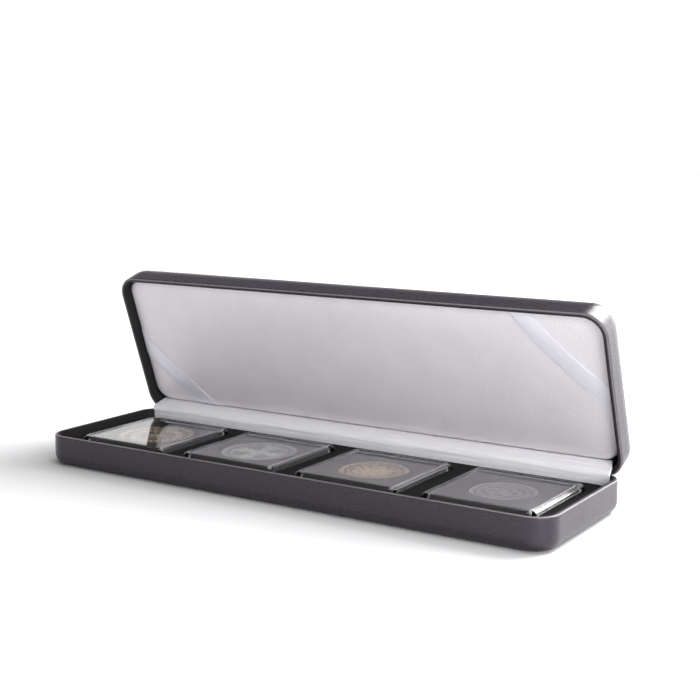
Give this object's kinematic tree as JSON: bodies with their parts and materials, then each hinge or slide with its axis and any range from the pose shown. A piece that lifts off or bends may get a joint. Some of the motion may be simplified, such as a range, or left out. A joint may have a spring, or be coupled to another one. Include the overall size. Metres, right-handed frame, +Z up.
{
  "type": "hinged coin presentation case",
  "caption": "Slim leatherette-covered case with a spring-hinged, satin-lined lid and a flocked insert whose square recesses hold clear coin capsules.",
  "frame": {"origin": "middle of the case's flat underside", "axes": "+X along the hinge, +Y towards the hinge side, +Z up; the lid is open at rest"},
  "size_m": [0.256, 0.0896, 0.0868],
  "materials": {
    "leatherette": "satin",
    "steel": "satin",
    "spring_steel": "gloss",
    "card": "matte",
    "flock": "matte",
    "satin": "satin",
    "ribbon": "satin",
    "white_foam": "matte",
    "black_foam": "matte",
    "clear_plastic": "gloss",
    "coin_bronze": "satin",
    "coin_silver": "satin",
    "coin_copper": "satin",
    "coin_dark_silver": "satin"
  },
  "bodies": {
    "base": {"base_cover": "leatherette", "base_shell": "steel", "insert_riser": "card", "insert_floor": "flock", "insert_frame": "flock", "hinge_pin": "steel", "snap_spring_left": "spring_steel", "snap_spring_right": "spring_steel", "hinge_gusset": "satin"},
    "lid": {"lid_cover": "leatherette", "lid_shell": "steel", "lid_board": "card", "lid_foam": "white_foam", "lid_satin": "satin", "ribbon_left": "ribbon", "ribbon_right": "ribbon"},
    "capsule_1": {"capsule_base_1": "clear_plastic", "capsule_foam_1": "black_foam"},
    "capsule_top_1": {"capsule_lid_1": "clear_plastic"},
    "loose_coin_1": {"coin_1": "coin_bronze"},
    "capsule_2": {"capsule_base_2": "clear_plastic", "capsule_foam_2": "black_foam"},
    "capsule_top_2": {"capsule_lid_2": "clear_plastic"},
    "loose_coin_2": {"coin_2": "coin_silver"},
    "capsule_3": {"capsule_base_3": "clear_plastic", "capsule_foam_3": "black_foam"},
    "capsule_top_3": {"capsule_lid_3": "clear_plastic"},
    "loose_coin_3": {"coin_3": "coin_copper"},
    "capsule_4": {"capsule_base_4": "clear_plastic", "capsule_foam_4": "black_foam"},
    "capsule_top_4": {"capsule_lid_4": "clear_plastic"},
    "loose_coin_4": {"coin_4": "coin_dark_silver"}
  },
  "joints": [
    {"name": "lid_hinge", "type": "hinge", "parent": "base", "child": "lid", "pos_m": [0, 0.036, 0.0135], "axis": [-1, 0, 0], "range_deg": [-70.5, 0], "deforming": ["hinge_gusset"]},
    {"name": "capsule_lift_1", "type": "slide", "parent": "base", "child": "capsule_1", "axis": [0, 0, 1], "range_m": [0, 0.02]},
    {"name": "capsule_open_1", "type": "slide", "parent": "capsule_1", "child": "capsule_top_1", "axis": [0, 0, 1], "range_m": [0, 0.012]},
    {"name": "coin_lift_1", "type": "slide", "parent": "capsule_1", "child": "loose_coin_1", "axis": [0, 0, 1], "range_m": [0, 0.006]},
    {"name": "capsule_lift_2", "type": "slide", "parent": "base", "child": "capsule_2", "axis": [0, 0, 1], "range_m": [0, 0.02]},
    {"name": "capsule_open_2", "type": "slide", "parent": "capsule_2", "child": "capsule_top_2", "axis": [0, 0, 1], "range_m": [0, 0.012]},
    {"name": "coin_lift_2", "type": "slide", "parent": "capsule_2", "child": "loose_coin_2", "axis": [0, 0, 1], "range_m": [0, 0.006]},
    {"name": "capsule_lift_3", "type": "slide", "parent": "base", "child": "capsule_3", "axis": [0, 0, 1], "range_m": [0, 0.02]},
    {"name": "capsule_open_3", "type": "slide", "parent": "capsule_3", "child": "capsule_top_3", "axis": [0, 0, 1], "range_m": [0, 0.012]},
    {"name": "coin_lift_3", "type": "slide", "parent": "capsule_3", "child": "loose_coin_3", "axis": [0, 0, 1], "range_m": [0, 0.006]},
    {"name": "capsule_lift_4", "type": "slide", "parent": "base", "child": "capsule_4", "axis": [0, 0, 1], "range_m": [0, 0.02]},
    {"name": "capsule_open_4", "type": "slide", "parent": "capsule_4", "child": "capsule_top_4", "axis": [0, 0, 1], "range_m": [0, 0.012]},
    {"name": "coin_lift_4", "type": "slide", "parent": "capsule_4", "child": "loose_coin_4", "axis": [0, 0, 1], "range_m": [0, 0.006]}
  ],
  "couplings": [
    {"joint": "coin_lift_1", "follows": "capsule_open_1", "ratio": 0.5},
    {"joint": "coin_lift_2", "follows": "capsule_open_2", "ratio": 0.5},
    {"joint": "coin_lift_3", "follows": "capsule_open_3", "ratio": 0.5},
    {"joint": "coin_lift_4", "follows": "capsule_open_4", "ratio": 0.5}
  ]
}
